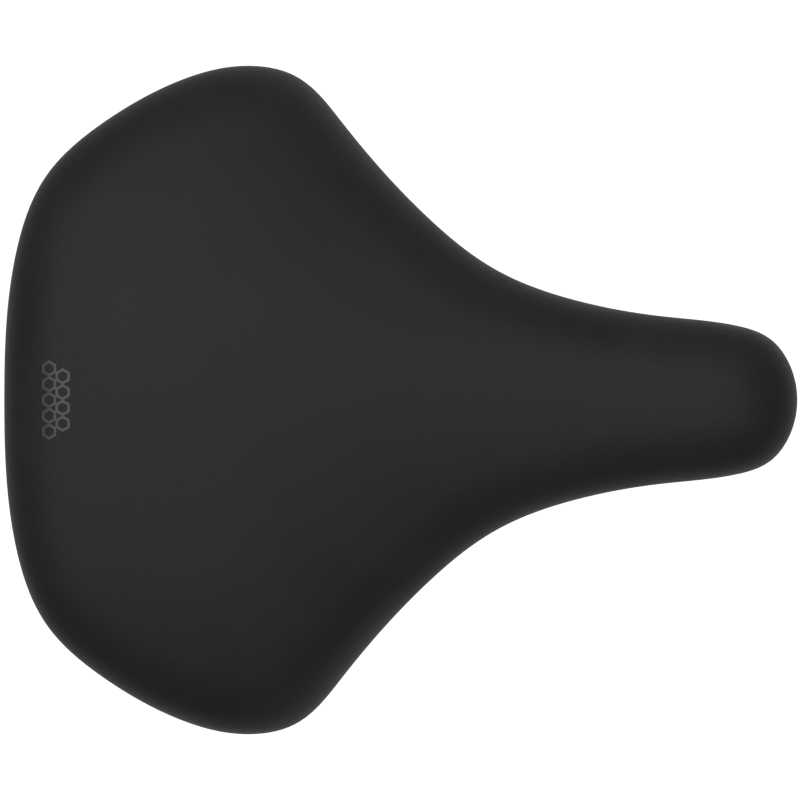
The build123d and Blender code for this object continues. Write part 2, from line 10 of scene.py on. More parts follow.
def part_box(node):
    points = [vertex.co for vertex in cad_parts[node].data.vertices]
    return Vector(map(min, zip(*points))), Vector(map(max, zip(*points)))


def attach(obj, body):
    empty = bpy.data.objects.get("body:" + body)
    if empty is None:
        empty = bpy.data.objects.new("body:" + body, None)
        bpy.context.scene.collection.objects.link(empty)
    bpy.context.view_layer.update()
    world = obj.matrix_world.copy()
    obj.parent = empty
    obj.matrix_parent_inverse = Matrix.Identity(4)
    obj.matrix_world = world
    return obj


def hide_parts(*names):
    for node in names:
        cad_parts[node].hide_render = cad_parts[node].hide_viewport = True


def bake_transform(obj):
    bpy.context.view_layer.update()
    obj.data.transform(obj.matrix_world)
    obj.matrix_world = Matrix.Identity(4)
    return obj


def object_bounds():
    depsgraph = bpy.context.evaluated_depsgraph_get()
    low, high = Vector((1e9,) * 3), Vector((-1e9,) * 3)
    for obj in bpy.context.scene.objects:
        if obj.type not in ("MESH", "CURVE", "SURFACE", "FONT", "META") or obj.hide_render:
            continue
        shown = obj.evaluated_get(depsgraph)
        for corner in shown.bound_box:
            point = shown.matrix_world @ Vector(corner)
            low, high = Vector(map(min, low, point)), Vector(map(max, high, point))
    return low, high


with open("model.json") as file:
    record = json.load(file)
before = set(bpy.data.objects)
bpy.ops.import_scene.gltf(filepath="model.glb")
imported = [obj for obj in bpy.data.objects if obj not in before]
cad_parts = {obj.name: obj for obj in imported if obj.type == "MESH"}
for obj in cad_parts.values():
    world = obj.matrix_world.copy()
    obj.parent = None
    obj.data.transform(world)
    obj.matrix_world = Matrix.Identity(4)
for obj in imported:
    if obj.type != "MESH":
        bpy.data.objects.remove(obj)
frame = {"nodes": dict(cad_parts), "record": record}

cad_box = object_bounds()
MM = 0.001

# ---- the seat's shape, as in the CAD part (millimetres from the tail) ----

LENGTH = 256.0
TAIL_X = -137.0
PLAN = [
    (4, 48.8), (13, 71.8), (32, 90), (57, 103.9), (78, 108.6), (93, 105.6), (108, 90.7),
    (136, 59.4), (158, 42.4), (184, 32.4), (212, 27.2), (236, 24.2), (247, 20), (253.3, 12),
]
WAIST_TOP = 93.0
REAR_RISE, RISE_START, RISE_END = 14.5, 205.0, 45.0
TAIL_ROLL, TAIL_ROLL_LENGTH = 2.6, 20.0
NOSE_ROLL, NOSE_ROLL_LENGTH = 7.0, 32.0
CROWN_REAR, CROWN_NOSE = 0.0020, 0.0135
CROWN_START, CROWN_END = 60.0, 205.0
DECK_NOSE, DECK_SLOPE, DECK_SWEEP = 60.0, 6.0, 11.0
SHELL_INSET, RIM_T, RIM_DEPTH = 7.0, 3.0, 14.0
GEL_X, GEL_Y, GEL_RX, GEL_RY, GEL_T = TAIL_X + 62, 44.0, 35.9, 26.9, 9.0

# How the soft cover rolls over at its edge
ROLL_INSET, ROLL_DROP = 20.0, 15.5
ROLL_POWER = 2.15
WING_START, WING_DROOP = 52.0, 0.0020
WALL_TUCK = 4.6  # how far the side wall leans in at its foot
SKIN = 1.2
LAYER_GAP = 0.15
HEM_H = 8.0
PATCH_INSET = 12.0  # the rings stop here and the top patch begins
ROLL_ROWS = 14
LIP_R = 2.6
FOAM_GAP = SKIN + 0.3  # from the cover's outer face to the foam
ALONG, ACROSS = 132, 68  # cells of the top patch

# Metal pieces, in metres
SPRING_WIRE = 4.6 * MM
SPRING_TURNS, CLOSED_TURNS, SETTLE_TURNS = 5.6, 0.85, 0.35
STUD_PITCH, STUD_THREAD = 1.25 * MM, 22 * MM

# Printed hexagons
HEX_PITCH, HEX_WIDTH, HEX_STROKE = 5.0, 4.55, 0.95
PRINT_FROM_TAIL, PRINT_RISE = 17.8, 0.05

# Studio and camera, in metres; light strengths are emission or watts
FLOOR_Z, FLOOR_HALF, FLOOR_GLOW = -1.45, 2.9, 0.93
SKY, BACKDROP = 0.075, 1.0
OVERHEAD = 27.8
SOFTBOX_PLACE = (-0.14, 0.45, 2.3)
SOFTBOX_WIDTH, SOFTBOX_DEPTH = 1.25, 1.0
CAMERA_SHIFT = -0.0010
CAMERA_RISE = 1.6  # above the seat's widest level
WIDEST_Z = 0.078
VIEW_WIDTH = 0.2586


def smooth(t):
    t = np.clip(t, 0.0, 1.0)
    return t * t * (3 - 2 * t)


def top_height(x, y):
    """Height of the crowned top before its edge rolls over."""
    s = np.clip(x - TAIL_X, 0.0, LENGTH)
    rise = smooth((RISE_START - s) / (RISE_START - RISE_END))
    tail = np.maximum(0.0, 1 - s / TAIL_ROLL_LENGTH)
    nose = np.maximum(0.0, 1 - (LENGTH - s) / NOSE_ROLL_LENGTH)
    tighter = smooth((s - CROWN_START) / (CROWN_END - CROWN_START))
    curvature = CROWN_REAR + (CROWN_NOSE - CROWN_REAR) * tighter
    crown = curvature * y * y / (2 + (curvature * y) ** 2)
    droop = WING_DROOP * np.maximum(0.0, abs(y) - WING_START) ** 2
    return WAIST_TOP + REAR_RISE * rise - TAIL_ROLL * tail**2 - NOSE_ROLL * nose**2 - crown - droop


def deck_height(x):
    t = (TAIL_X + LENGTH - x) / LENGTH
    return DECK_NOSE + DECK_SLOPE * t + DECK_SWEEP * t * t


def clamped_spline(points, first, last, per_span):
    """A smooth curve through the points that leaves and arrives along the given unit vectors."""
    p = np.array(points, float)
    h = np.linalg.norm(np.diff(p, axis=0), axis=1)
    count = len(p)
    matrix, right = np.eye(count), np.zeros((count, 2))
    right[0], right[-1] = first, last
    for i in range(1, count - 1):
        a, b = 1 / h[i - 1], 1 / h[i]
        matrix[i, i - 1 : i + 2] = a, 2 * (a + b), b
        right[i] = 3 * ((p[i] - p[i - 1]) * a * a + (p[i + 1] - p[i]) * b * b)
    speed = np.linalg.solve(matrix, right)
    places, tangents = [], []
    for i in range(count - 1):
        t = np.linspace(0, 1, per_span, endpoint=i == count - 2)[:, None]
        m0, m1 = speed[i] * h[i], speed[i + 1] * h[i]
        c2 = 3 * (p[i + 1] - p[i]) - 2 * m0 - m1
        c3 = 2 * (p[i] - p[i + 1]) + m0 + m1
        places.append(p[i] + m0 * t + c2 * t**2 + c3 * t**3)
        tangents.append(m0 + 2 * c2 * t + 3 * c3 * t**2)
    places, tangents = np.vstack(places), np.vstack(tangents)
    return places, tangents / np.linalg.norm(tangents, axis=1)[:, None]


HALF_POINTS = [(TAIL_X, 0)] + [(TAIL_X + s, w) for s, w in PLAN] + [(TAIL_X + LENGTH, 0)]
EDGE, EDGE_TANGENT = clamped_spline(HALF_POINTS, (0, 1), (0, -1), 40)
EDGE_OUT = np.column_stack([-EDGE_TANGENT[:, 1], EDGE_TANGENT[:, 0]])
EDGE_RUN = np.concatenate([[0], np.cumsum(np.linalg.norm(np.diff(EDGE, axis=0), axis=1))])
EDGE_STEP = np.diff(EDGE, axis=0)
HALF_RUN = EDGE_RUN[-1]


def edge_point(share, inset):
    """A point inset from the outline. share runs from the tail's middle round the left side."""
    left = share <= 0.5
    run = 2 * HALF_RUN * (share if left else 1 - share)
    x = np.interp(run, EDGE_RUN, EDGE[:, 0]) - inset * np.interp(run, EDGE_RUN, EDGE_OUT[:, 0])
    y = np.interp(run, EDGE_RUN, EDGE[:, 1]) - inset * np.interp(run, EDGE_RUN, EDGE_OUT[:, 1])
    return x, y if left else -y


def edge_distance(x, y):
    """How far a point of the plan lies inside the outline."""
    point = np.array((x, abs(y)))
    along = np.clip(np.sum((point - EDGE[:-1]) * EDGE_STEP, axis=1) / np.sum(EDGE_STEP**2, axis=1), 0, 1)
    return np.min(np.linalg.norm(EDGE[:-1] + EDGE_STEP * along[:, None] - point, axis=1))


def roll(inset):
    """How far the surface has dropped below the crowned top, inset from the outline."""
    left = min(1.0, max(0.0, 1 - inset / ROLL_INSET))
    return ROLL_DROP * (1 - (1 - left**ROLL_POWER) ** (1 / ROLL_POWER))


def share_at(s):
    """The share of the outline at distance s from the tail, on the left side."""
    index = int(np.argmin(abs(EDGE[:, 0] - TAIL_X - s)))
    return EDGE_RUN[index] / HALF_RUN / 2


# ---- mesh helpers ----


def new_piece(name, bm, material, smooth_faces=True):
    """Turns a bmesh into a scene object at the origin."""
    mesh = bpy.data.meshes.new(name)
    bm.to_mesh(mesh)
    bm.free()
    mesh.materials.append(material)
    for polygon in mesh.polygons:
        polygon.use_smooth = smooth_faces
    piece = bpy.data.objects.new(name, mesh)
    bpy.context.scene.collection.objects.link(piece)
    return piece


def sharp_edges(piece, degrees):
    """Keeps the creases of a piece crisp where its faces turn by more than the angle."""
    piece.data.set_sharp_from_angle(angle=math.radians(degrees))


def add_modifier(piece, kind, **settings):
    made = piece.modifiers.new(kind.title(), kind)
    for key, value in settings.items():
        setattr(made, key, value)
    return made


def seat_patch(bm, height, along, across):
    """The middle of a seat layer: a grid inside the ring of edge points at PATCH_INSET."""
    made = bmesh.ops.create_grid(bm, x_segments=along, y_segments=across, size=1)
    tail, nose = TAIL_CORNER, NOSE_CORNER
    # a grid vertex sits at (u, v) from -1 to 1: u along the seat, v across it
    for vert in made["verts"]:
        u, v = (vert.co.x + 1) / 2, (vert.co.y + 1) / 2
        side = tail + (nose - tail) * u
        left, right = edge_point(side, PATCH_INSET), edge_point(1 - side, PATCH_INSET)
        rear = edge_point((tail * (2 * v - 1)) % 1, PATCH_INSET)
        front = edge_point(0.5 + (0.5 - nose) * (1 - 2 * v), PATCH_INSET)
        c00, c01 = edge_point(1 - tail, PATCH_INSET), edge_point(tail, PATCH_INSET)
        c10, c11 = edge_point(1 - nose, PATCH_INSET), edge_point(nose, PATCH_INSET)
        x, y = (
            (1 - v) * right[i] + v * left[i] + (1 - u) * rear[i] + u * front[i]
            - (1 - u) * ((1 - v) * c00[i] + v * c01[i]) - u * ((1 - v) * c10[i] + v * c11[i])
            for i in (0, 1)
        )
        vert.co = Vector((x, y, height(x, y)))
    return made["verts"]


TAIL_CORNER = share_at(13.0)
NOSE_CORNER = share_at(247.0)


def loop_shares(along, across):
    """The outline shares of a patch's boundary, in order round it from the right tail corner."""
    tail, nose = TAIL_CORNER, NOSE_CORNER
    rear = [(tail * (2 * i / across - 1)) % 1 for i in range(across)]
    left = [tail + (nose - tail) * i / along for i in range(along)]
    front = [nose + (1 - 2 * nose) * i / across for i in range(across)]
    right = [1 - nose + (nose - tail) * i / along for i in range(along)]
    return rear + left + front + right


def boundary_ring(bm, verts, along, across):
    """The patch's boundary vertices, in the order of loop_shares."""
    targets = [edge_point(share, PATCH_INSET) for share in loop_shares(along, across)]
    rim = [v for v in verts if v.is_boundary]
    ring = []
    for x, y in targets:
        ring.append(min(rim, key=lambda v: (v.co.x - x) ** 2 + (v.co.y - y) ** 2))
    return ring


def grow_rings(bm, ring, shares, profile):
    """Extrudes the ring outward through the profile's (inset, height) steps."""
    for inset_of, height_of in profile:
        edges = [bm.edges.get((a, b)) for a, b in zip(ring, ring[1:] + ring[:1])]
        made = bmesh.ops.extrude_edge_only(bm, edges=edges)["geom"]
        new = [v for v in made if isinstance(v, bmesh.types.BMVert)]
        new_of = {}
        for vert in new:
            old = next(e.other_vert(vert) for e in vert.link_edges if e.other_vert(vert) not in new)
            new_of[old] = vert
        ring = [new_of[v] for v in ring]
        for vert, share in zip(ring, shares):
            inset = inset_of(share)
            x, y = edge_point(share, inset)
            vert.co = Vector((x, y, height_of(x, y, share)))


def fixed(value):
    return lambda share: value


def to_metres(bm):
    bmesh.ops.scale(bm, vec=(MM, MM, MM), verts=bm.verts)


# ---- shader helpers ----


def colour(code):
    """An sRGB hex colour as linear RGBA."""
    parts = [int(code[i : i + 2], 16) / 255 for i in (1, 3, 5)]
    return (*[c / 12.92 if c <= 0.04045 else ((c + 0.055) / 1.055) ** 2.4 for c in parts], 1.0)


def add(tree, kind, settings=None, links=None):
    """Adds a shader node. A link's value is either another node's socket or a plain value."""
    made = tree.nodes.new("ShaderNode" + kind)
    for key, value in (settings or {}).items():
        setattr(made, key, value)
    for key, value in (links or {}).items():
        if isinstance(value, bpy.types.NodeSocket):
            tree.links.new(value, made.inputs[key])
        else:
            made.inputs[key].default_value = value
    return made


def start_material(name):
    material = bpy.data.materials.new(name)
    material.use_nodes = True
    tree = material.node_tree
    tree.nodes.clear()
    place = add(tree, "TexCoord").outputs["Object"]
    return material, tree, place


def end_material(tree, **shader):
    """The shader and the output; socket names have their spaces as underscores."""
    links = {key.replace("_", " "): value for key, value in shader.items()}
    surface = add(tree, "BsdfPrincipled", links=links)
    add(tree, "OutputMaterial", links={"Surface": surface.outputs[0]})


def cloud(tree, place, size, detail=3.0, rough=0.55, stretch=(1, 1, 1)):
    """Soft noise whose blobs are about size metres across."""
    at = add(tree, "Mapping", links={"Vector": place, "Scale": stretch}).outputs[0]
    links = {"Vector": at, "Scale": 0.7 / size, "Detail": detail, "Roughness": rough}
    return add(tree, "TexNoise", links=links).outputs["Fac"]


def grain(tree, place, size, feature="SMOOTH_F1", smoothness=0.6):
    """Packed round cells about size metres across."""
    links = {"Vector": place, "Scale": 1 / size}
    if feature == "SMOOTH_F1":
        links["Smoothness"] = smoothness
    return add(tree, "TexVoronoi", {"feature": feature}, links).outputs["Distance"]


def between(tree, fac, low, high, from_low=0.3, from_high=0.7):
    """Spreads a pattern over the range low to high."""
    links = {"Value": fac, "From Min": from_low, "From Max": from_high, "To Min": low, "To Max": high}
    return add(tree, "MapRange", links=links).outputs["Result"]


def blend_colours(tree, fac, first, second):
    links = {"Factor": fac, 6: first if not isinstance(first, str) else colour(first)}
    links[7] = second if not isinstance(second, str) else colour(second)
    return add(tree, "Mix", {"data_type": "RGBA"}, links).outputs[2]


def soft_corners(tree, radius):
    """Shades hard edges as if they were rounded off by the radius in metres."""
    return add(tree, "Bevel", {"samples": 6}, {"Radius": radius}).outputs[0]


def bump(tree, height, depth, under=None):
    """Raises the surface by depth metres where the pattern is 1."""
    links = {"Height": height, "Distance": depth, "Strength": 1.0}
    if under is not None:
        links["Normal"] = under
    return add(tree, "Bump", links=links).outputs[0]


def sum_of(tree, first, second, weight):
    links = {0: second, 1: weight, 2: first}
    return add(tree, "Math", {"operation": "MULTIPLY_ADD"}, links).outputs[0]


# ---- materials ----


def soft_touch_vinyl():
    """Calendered polyurethane leather with a soft-touch coat: very matte, with a fine even grain."""
    material, tree, place = start_material("soft_touch_vinyl")
    pores = grain(tree, place, 0.75 * MM)
    pebbles = cloud(tree, place, 1.6 * MM, 2.0)
    drift = cloud(tree, place, 28 * MM, 4.0)
    tone = sum_of(tree, between(tree, drift, 0.0, 0.7), between(tree, pores, 0.0, 0.3, 0.1, 0.6), 1.0)
    body = blend_colours(tree, tone, "#2b2f2e", "#333736")
    normal = bump(tree, pebbles, 0.03 * MM)
    normal = bump(tree, pores, 0.045 * MM, normal)
    rough = between(tree, drift, 0.60, 0.70)
    end_material(tree, Base_Color=body, Roughness=rough, Normal=normal, Specular_IOR_Level=0.22)
    return material


def printed_ink():
    """Screen-printed ink, a little smoother and paler than the vinyl under it."""
    material, tree, place = start_material("printed_ink")
    flecks = cloud(tree, place, 0.6 * MM, 2.0)
    body = blend_colours(tree, between(tree, flecks, 0, 1), "#4b4d4d", "#565858")
    normal = bump(tree, flecks, 0.02 * MM)
    end_material(tree, Base_Color=body, Roughness=0.5, Normal=normal, Specular_IOR_Level=0.4)
    return material


def moulded_nylon(name, dark, light, depth):
    """Glass-filled nylon from a spark-eroded mould: dull, with an even frosted texture."""
    material, tree, place = start_material(name)
    frost = grain(tree, place, 0.55 * MM)
    drift = cloud(tree, place, 14 * MM, 5.0)
    body = blend_colours(tree, between(tree, drift, 0, 1), dark, light)
    normal = bump(tree, frost, depth, soft_corners(tree, 0.5 * MM))
    rough = between(tree, drift, 0.42, 0.55)
    end_material(tree, Base_Color=body, Roughness=rough, Normal=normal)
    return material


def black_paint(name, peel_size, peel_depth, rough_low, rough_high):
    """Black paint over steel: slight orange peel, with dust-dull patches."""
    material, tree, place = start_material(name)
    peel = cloud(tree, place, peel_size, 1.5)
    drift = cloud(tree, place, 18 * MM, 5.0)
    body = blend_colours(tree, between(tree, drift, 0, 1), "#0f1011", "#191a1b")
    normal = bump(tree, peel, peel_depth, soft_corners(tree, 0.5 * MM))
    rough = between(tree, drift, rough_low, rough_high)
    shader = {"Coat_Weight": 0.25, "Coat_Roughness": 0.25}
    end_material(tree, Base_Color=body, Roughness=rough, Normal=normal, **shader)
    return material


def plated_steel(name, dark, light, rough_low, rough_high, lines=(1, 1, 1)):
    """Bright zinc or nickel plate: metal with faint drawing lines and uneven polish."""
    material, tree, place = start_material(name)
    drawn = cloud(tree, place, 0.5 * MM, 4.0, 0.6, lines)
    drift = cloud(tree, place, 7 * MM, 5.0)
    body = blend_colours(tree, between(tree, drift, 0, 1), dark, light)
    normal = bump(tree, drawn, 0.003 * MM, soft_corners(tree, 0.35 * MM))
    mixed = sum_of(tree, between(tree, drift, rough_low, rough_high), between(tree, drawn, -0.04, 0.04), 1.0)
    end_material(tree, Base_Color=body, Metallic=1.0, Roughness=mixed, Normal=normal)
    return material


def moulded_foam():
    """Integral-skin polyurethane foam: dull grey skin with pinholes, darkened inside with painted shade."""
    material, tree, place = start_material("moulded_foam")
    cells = grain(tree, place, 1.1 * MM, "F1")
    drift = cloud(tree, place, 12 * MM, 4.0)
    body = blend_colours(tree, between(tree, drift, 0, 1), "#55565a", "#64656a")
    pit_depth_and_painted_shade = between(tree, cells, 0.0, 1.0, 0.05, 0.35)
    # the pinholes are coloured darker here: painted shade inside the pits
    body = blend_colours(tree, pit_depth_and_painted_shade, "#3c3d40", body)
    normal = bump(tree, pit_depth_and_painted_shade, 0.25 * MM)
    end_material(tree, Base_Color=body, Roughness=0.85, Normal=normal, Specular_IOR_Level=0.3)
    return material


def gel():
    """Cast polyurethane gel: soft, cloudy and translucent."""
    material, tree, place = start_material("gel")
    haze = cloud(tree, place, 9 * MM, 5.0)
    body = blend_colours(tree, between(tree, haze, 0, 1), "#3f79a8", "#5d93bd")
    normal = bump(tree, haze, 0.2 * MM)
    shader = {"Subsurface_Weight": 0.5, "Subsurface_Scale": 4 * MM, "Transmission_Weight": 0.25}
    end_material(tree, Base_Color=body, Roughness=0.22, Normal=normal, **shader)
    return material


VINYL = soft_touch_vinyl()
INK = printed_ink()
FOAM = moulded_foam()
GEL = gel()
SHELL = moulded_nylon("moulded_shell", "#151617", "#1d1e1f", 0.05 * MM)
CUP = moulded_nylon("moulded_cup", "#1b1c1e", "#242527", 0.03 * MM)
RAIL = black_paint("rail_paint", 1.6 * MM, 0.02 * MM, 0.32, 0.42)
BRIDGE = black_paint("bridge_powder_coat", 0.9 * MM, 0.05 * MM, 0.42, 0.52)
SPRING = plated_steel("nickel_plate", "#b9bbbf", "#d2d3d6", 0.16, 0.26, (1, 1, 6))
CLAMP = plated_steel("zinc_plate", "#b4b8bc", "#cfd2d5", 0.34, 0.48)
FASTENER = plated_steel("bright_zinc", "#b4b6b8", "#cfd1d2", 0.20, 0.32)

MATERIAL_OF_SLOT = {
    "cover_vinyl": VINYL,
    "seat_foam": FOAM,
    "gel": GEL,
    "shell_nylon": SHELL,
    "cup_nylon": CUP,
    "rail_steel": RAIL,
    "bridge_steel": BRIDGE,
    "spring_steel": SPRING,
    "clamp_steel": CLAMP,
    "fastener_steel": FASTENER,
}
SLOT_OF_NODE = {row["node"]: row["material_slot"] for row in frame["record"]["subparts"]}
for node_name, node_object in frame["nodes"].items():
    for slot in node_object.material_slots:
        slot.material = MATERIAL_OF_SLOT[SLOT_OF_NODE[node_name]]


# ---- cover ----


def cover_top(x, y):
    return top_height(x, y) - roll(edge_distance(x, y))


def roll_steps(first, count):
    """Insets from the first one out to the outline, closer together where the edge is steep."""
    start = math.acos(1 - first / ROLL_INSET)
    return [ROLL_INSET * (1 - math.cos(start * (1 - i / count))) for i in range(1, count + 1)]


def wall_height(share):
    """Heights of the foot of the roll and of the lip, at a place round the outline."""
    x, y = edge_point(share, 0)
    return top_height(x, y) - ROLL_DROP, deck_height(x) - RIM_DEPTH - SKIN - 0.1


CORNERS = (TAIL_CORNER, share_at(84.0), NOSE_CORNER)


def pleat(share):
    """Small gathers where the skin is pulled round the tight corners under the rim."""
    run = 2 * HALF_RUN * min(share, 1 - share)
    tight = sum(math.exp(-(((run - 2 * HALF_RUN * corner) / 26) ** 2)) for corner in CORNERS)
    wave = math.sin(run / 1.55) * 0.6 + noise.noise(Vector((run * 0.23, share > 0.5, 0))) * 0.9
    return tight * wave


def cover_profile():
    steps = [(fixed(inset), lambda x, y, share: cover_top(x, y)) for inset in roll_steps(PATCH_INSET, ROLL_ROWS)]
    wall_rows = 12
    for i in range(1, wall_rows + 1):
        t = i / wall_rows
        steps.append((fixed(WALL_TUCK * t**1.7), wall_z(t)))
    for i in range(1, 6):
        turn = math.radians(90 * i / 5)
        inset = WALL_TUCK + LIP_R * (1 - math.cos(turn)) * 0.9
        steps.append((fixed(inset), lip_z(LIP_R * (1 - math.sin(turn)))))
    for inset in (8.2, 9.2, 10.2):
        steps.append((fixed(inset), lip_z(0.0, 0.28)))
    hem_inset = SHELL_INSET + RIM_T + 0.1 + SKIN
    steps.append((fixed(hem_inset - 0.35), lip_z(0.35, 0.15)))
    for rise in (1.3, 3.0, 5.0, 6.6, HEM_H):
        steps.append((fixed(hem_inset), lip_z(rise, 0.2)))
    return steps


def wall_z(t):
    def height(x, y, share):
        high, low = wall_height(share)
        return high + (low + LIP_R - high) * t
    return height


def lip_z(rise, pleats=0.0):
    def height(x, y, share):
        return wall_height(share)[1] + rise - pleats * (1 + pleat(share)) / 2
    return height


def make_cover():
    bm = bmesh.new()
    verts = seat_patch(bm, cover_top, ALONG, ACROSS)
    ring = boundary_ring(bm, verts, ALONG, ACROSS)
    grow_rings(bm, ring, loop_shares(ALONG, ACROSS), cover_profile())
    to_metres(bm)
    bmesh.ops.recalc_face_normals(bm, faces=bm.faces)
    cover = new_piece("seat_cover", bm, VINYL)
    add_modifier(cover, "SOLIDIFY", thickness=SKIN * MM, offset=-1.0, use_even_offset=True)
    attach(cover, "seat")
    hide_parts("cover")


make_cover()


# ---- foam and gel ----


def roll_lean(inset):
    """The outward and upward parts of the cover's normal, inset from the outline."""
    left = min(0.999, max(0.0, 1 - inset / ROLL_INSET))
    slope = ROLL_DROP / ROLL_INSET * left ** (ROLL_POWER - 1) / (1 - left**ROLL_POWER) ** (1 - 1 / ROLL_POWER)
    return slope / math.hypot(1, slope), 1 / math.hypot(1, slope)


def pocket(x, y):
    """The gel pockets' depth: flat-bottomed ovals with sloping walls."""
    far = math.hypot((x - GEL_X) / GEL_RX, (abs(y) - GEL_Y) / GEL_RY)
    return GEL_T * float(smooth((1.13 - far) / 0.11))


def foam_top(x, y):
    return cover_top(x, y) - FOAM_GAP - pocket(x, y)


def foam_profile():
    steps = []
    for inset in roll_steps(PATCH_INSET, ROLL_ROWS):
        out, up = roll_lean(inset)
        steps.append((fixed(inset + FOAM_GAP * out), foam_roll_z(inset, up)))
    wall_rows = 10
    for i in range(1, wall_rows + 1):
        t = i / wall_rows
        steps.append((fixed(min(WALL_TUCK * t**1.7 + FOAM_GAP, 6.2)), foam_wall_z(t)))
    groove = SHELL_INSET - LAYER_GAP
    for t in (1.0, 0.75, 0.5, 0.25, 0.0):
        steps.append((fixed(groove), foam_groove_z(t)))
    for inset in (8.5, 10.2, PATCH_INSET):
        steps.append((fixed(inset), foam_groove_z(0.0)))
    return steps


def foam_roll_z(inset, up):
    def height(x, y, share):
        return cover_top(*edge_point(share, inset)) - FOAM_GAP * up
    return height


def foam_wall_z(t):
    def height(x, y, share):
        high, low = wall_height(share)[0], deck_height(x) - RIM_DEPTH + 0.3
        return high + (low - high) * t
    return height


def foam_groove_z(t):
    def height(x, y, share):
        return deck_height(x) + LAYER_GAP - (RIM_DEPTH + LAYER_GAP - 0.3) * t
    return height


def foam_floor(x, y):
    return deck_height(x) + LAYER_GAP


def make_foam():
    bm = bmesh.new()
    verts = seat_patch(bm, foam_top, ALONG, ACROSS)
    ring = boundary_ring(bm, verts, ALONG, ACROSS)
    grow_rings(bm, ring, loop_shares(ALONG, ACROSS), foam_profile())
    seat_patch(bm, foam_floor, ALONG, ACROSS)
    bmesh.ops.remove_doubles(bm, verts=bm.verts, dist=0.02)
    to_metres(bm)
    bmesh.ops.recalc_face_normals(bm, faces=bm.faces)
    foam = new_piece("foam_core", bm, FOAM)
    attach(foam, "seat")
    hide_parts("foam_pad")


def make_gel(side, sign):
    """A poured oval of gel with a rounded edge, flush with the foam round it."""
    bm = bmesh.new()
    bmesh.ops.create_uvsphere(bm, u_segments=72, v_segments=28, radius=1)
    for vert in bm.verts:
        flat = math.hypot(vert.co.x, vert.co.y)
        fuller = flat**0.34 / max(flat, 1e-6)
        x = GEL_X + vert.co.x * fuller * GEL_RX
        y = sign * GEL_Y + vert.co.y * fuller * GEL_RY
        lift = math.copysign(abs(vert.co.z) ** 0.62, vert.co.z) * (GEL_T - 0.3) / 2
        vert.co = Vector((x, y, cover_top(x, y) - FOAM_GAP - GEL_T / 2 + lift))
    to_metres(bm)
    bmesh.ops.recalc_face_normals(bm, faces=bm.faces)
    pad = new_piece(f"gel_{side}", bm, GEL)
    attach(pad, "seat")
    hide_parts(f"gel_pad_{side}")


make_foam()
for side_name, side_sign in (("left", 1), ("right", -1)):
    make_gel(side_name, side_sign)


# ---- turned, threaded and coiled metal ----


def loft(bm, segments, stations, place):
    """Extrudes a closed ring through the stations and caps both ends."""
    ring = bmesh.ops.create_circle(bm, segments=segments, radius=1, cap_ends=True)["verts"]
    for index, station in enumerate(stations):
        if index:
            edges = [bm.edges.get((a, b)) for a, b in zip(ring, ring[1:] + ring[:1])]
            made = bmesh.ops.extrude_edge_only(bm, edges=edges)["geom"]
            new = {v for v in made if isinstance(v, bmesh.types.BMVert)}
            ring = [next(w for w in (e.other_vert(v) for e in v.link_edges) if w in new) for v in ring]
        for k, vert in enumerate(ring):
            vert.co = place(station, 2 * math.pi * k / segments)
    bmesh.ops.contextual_create(bm, geom=[bm.edges.get((a, b)) for a, b in zip(ring, ring[1:] + ring[:1])])
    bmesh.ops.recalc_face_normals(bm, faces=bm.faces)


def make_spring(side):
    """Cold-coiled compression spring: closed end turns, ground flat to sit in their cups."""
    low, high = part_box(f"spring_{side}")
    middle = (low + high) / 2
    outer = (high.y - low.y) / 2
    wire = SPRING_WIRE
    turns = np.linspace(0, SPRING_TURNS, int(SPRING_TURNS * 56) + 1)
    from_start, from_end = turns - CLOSED_TURNS, SPRING_TURNS - CLOSED_TURNS - turns
    opening = smooth(from_start / SETTLE_TURNS) * smooth(from_end / SETTLE_TURNS)
    closed_pitch = 1.01 * wire
    rise = high.z - low.z - 0.5 * wire - closed_pitch * SPRING_TURNS
    spread = np.concatenate([[0], np.cumsum(opening)])[:-1]
    heights = low.z + 0.25 * wire + closed_pitch * turns + rise * spread / spread[-1]
    coil_r = outer - wire / 2

    def place(station, angle):
        turn, z = station
        out = coil_r + wire / 2 * math.cos(angle)
        around = 2 * math.pi * turn
        x, y = middle.x + out * math.cos(around), middle.y + out * math.sin(around)
        return Vector((x, y, z + wire / 2 * math.sin(angle)))

    bm = bmesh.new()
    loft(bm, 20, list(zip(turns, heights)), place)
    for z, up in ((low.z, -1), (high.z, 1)):
        geom = bm.verts[:] + bm.edges[:] + bm.faces[:]
        bmesh.ops.bisect_plane(bm, geom=geom, plane_co=(0, 0, z), plane_no=(0, 0, up), clear_outer=True)
        bmesh.ops.holes_fill(bm, edges=[e for e in bm.edges if e.is_boundary], sides=0)
    bmesh.ops.recalc_face_normals(bm, faces=bm.faces)
    spring = new_piece(f"coil_spring_{side}", bm, SPRING)
    sharp_edges(spring, 40)
    start, end = (middle.x, middle.y, low.z + wire), (middle.x, middle.y, high.z - wire)
    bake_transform(spring)
    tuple(start)
    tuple(end)
    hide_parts(f"spring_{side}")


for side_name in ("left", "right"):
    make_spring(side_name)


def thread_depth(turn_phase):
    """A 60 degree thread form with flat crests and rounded roots, from 0 at the crest to 1."""
    saw = abs((turn_phase % 1.0) - 0.5) * 2
    return float(smooth((saw - 0.12) / 0.76))


def threaded_rod(bm, radius, length, pitch, threads):
    """A rod along +Z from the origin, with a thread over each (start, end) of threads."""
    steps = max(2, int(length / pitch * 8))
    chamfer = pitch * 0.7

    def place(z, angle):
        out = radius
        for start, end in threads:
            if start <= z <= end:
                fade = min(1.0, (z - start) / pitch + 0.15, (end - z) / pitch + 0.15)
                out -= 0.54 * pitch * thread_depth(z / pitch - angle / (2 * math.pi)) * fade
        out = min(out, radius - chamfer + min(z, length - z))
        return Vector((out * math.cos(angle), out * math.sin(angle), z))

    loft(bm, 28, [length * i / steps for i in range(steps + 1)], place)


